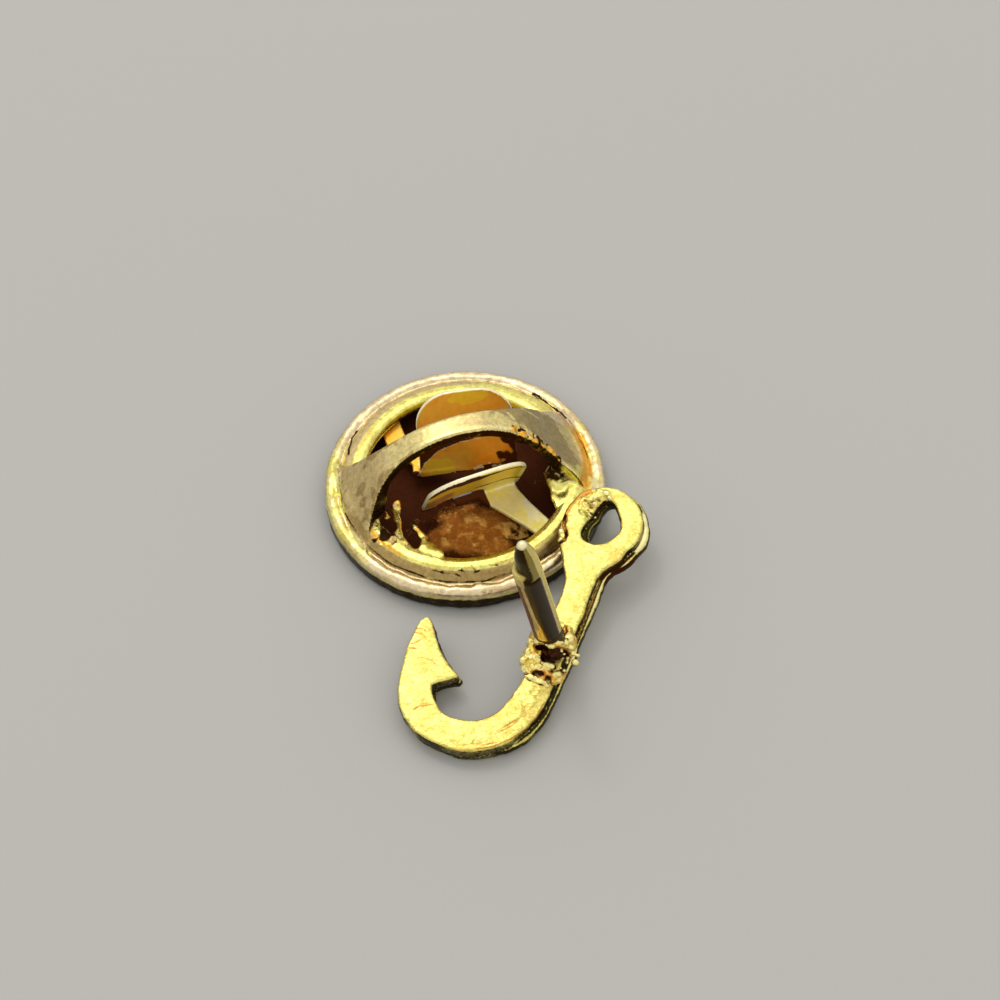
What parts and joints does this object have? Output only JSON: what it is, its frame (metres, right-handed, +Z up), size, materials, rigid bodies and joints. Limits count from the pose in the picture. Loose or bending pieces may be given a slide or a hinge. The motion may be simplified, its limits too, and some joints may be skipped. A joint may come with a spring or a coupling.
{
  "type": "lapel pin",
  "caption": "Gold-plated lapel pin shaped like a fish hook, lying back up with its soldered post upright, next to its butterfly clutch with a bridge and spring wings.",
  "frame": {"origin": "middle of the whole part's footprint, on the surface that it lies on", "axes": "+Z up, +Y away from the viewer along the longer side, +X to the viewer's right"},
  "size_m": [0.0132, 0.0188, 0.0098],
  "materials": {
    "hook_gold": "polished gold plate over a cast, faintly grained back, with dark solder at the post",
    "clutch_gold": "stamped gold-plated sheet, worn and stained along the rim",
    "base_brass": "dull browned brass sheet",
    "spring_gold": "bright gold-plated spring strip"
  },
  "bodies": {
    "pin_and_clutch": {"hook": "hook_gold", "clutch_cap": "clutch_gold", "clutch_base": "base_brass"},
    "far_wing": {"wing_far": "spring_gold"},
    "near_wing": {"wing_near": "spring_gold"}
  },
  "joints": [
    {"name": "far_wing_squeeze", "type": "hinge", "parent": "pin_and_clutch", "child": "far_wing", "pos_m": [-0.00121, 0.00681, 0.00091], "axis": [0.9949, 0.1011, 0], "range_deg": [0, 9], "stiffness_Nm_per_rad": 0.06},
    {"name": "near_wing_squeeze", "type": "hinge", "parent": "pin_and_clutch", "child": "near_wing", "pos_m": [0.00014, 0.0006, 0.00091], "axis": [-0.9466, -0.3223, 0], "range_deg": [0, 9], "stiffness_Nm_per_rad": 0.06}
  ]
}
